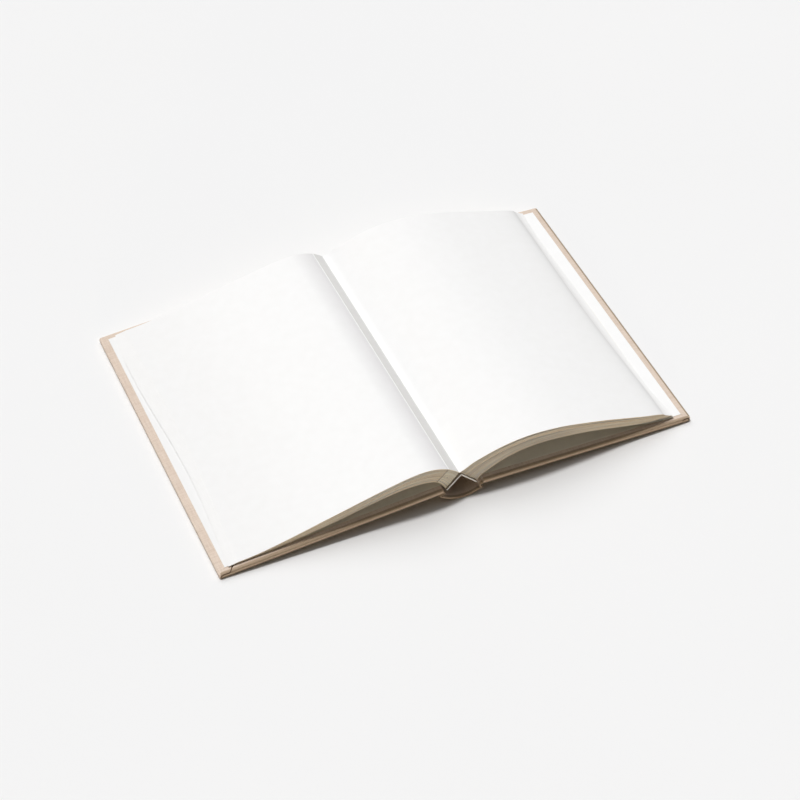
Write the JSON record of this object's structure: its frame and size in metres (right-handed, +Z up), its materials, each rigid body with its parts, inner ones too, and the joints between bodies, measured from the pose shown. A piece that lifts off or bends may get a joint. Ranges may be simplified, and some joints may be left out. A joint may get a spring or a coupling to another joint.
{
  "type": "open book",
  "caption": "Case-bound hardcover book lying open at its middle, blank leaves arched over two hinged cloth-covered boards, with a hollow bowed spine.",
  "frame": {"origin": "on the surface under the centre of the open spread, midway between the two board fore-edges and between head and tail", "axes": "+X across the spread from the left (front) board to the right (back) board, +Y from the tail of the pages to their head, +Z up from the surface it lies on"},
  "size_m": [0.3166, 0.216, 0.0331],
  "materials": {
    "cover_cloth": "matte natural book cloth, fine plain weave",
    "grey_board": "matte grey board",
    "leaf_paper": "matte uncoated white paper",
    "endpaper": "matte uncoated off-white paper",
    "spine_lining": "matte lining paper over glue",
    "inlay_card": "matte card"
  },
  "bodies": {
    "block": {"text_block": "leaf_paper", "spine_lining": "spine_lining", "front_flyleaf": "leaf_paper", "back_flyleaf": "leaf_paper", "cover_cloth_spine": "cover_cloth", "spine_inlay": "inlay_card"},
    "front_cover": {"front_board": "grey_board", "cover_cloth_front": "cover_cloth", "front_pastedown": "endpaper"},
    "back_cover": {"back_board": "grey_board", "cover_cloth_back": "cover_cloth", "back_pastedown": "endpaper"}
  },
  "joints": [
    {"name": "front_hinge", "type": "hinge", "parent": "block", "child": "front_cover", "pos_m": [-0.0169, 0, 0.00885], "axis": [0, -1, 0], "range_deg": [0, 90]},
    {"name": "back_hinge", "type": "hinge", "parent": "block", "child": "back_cover", "pos_m": [0.0129, 0, 0.0062], "axis": [0, 1, 0], "range_deg": [0, 90]}
  ]
}
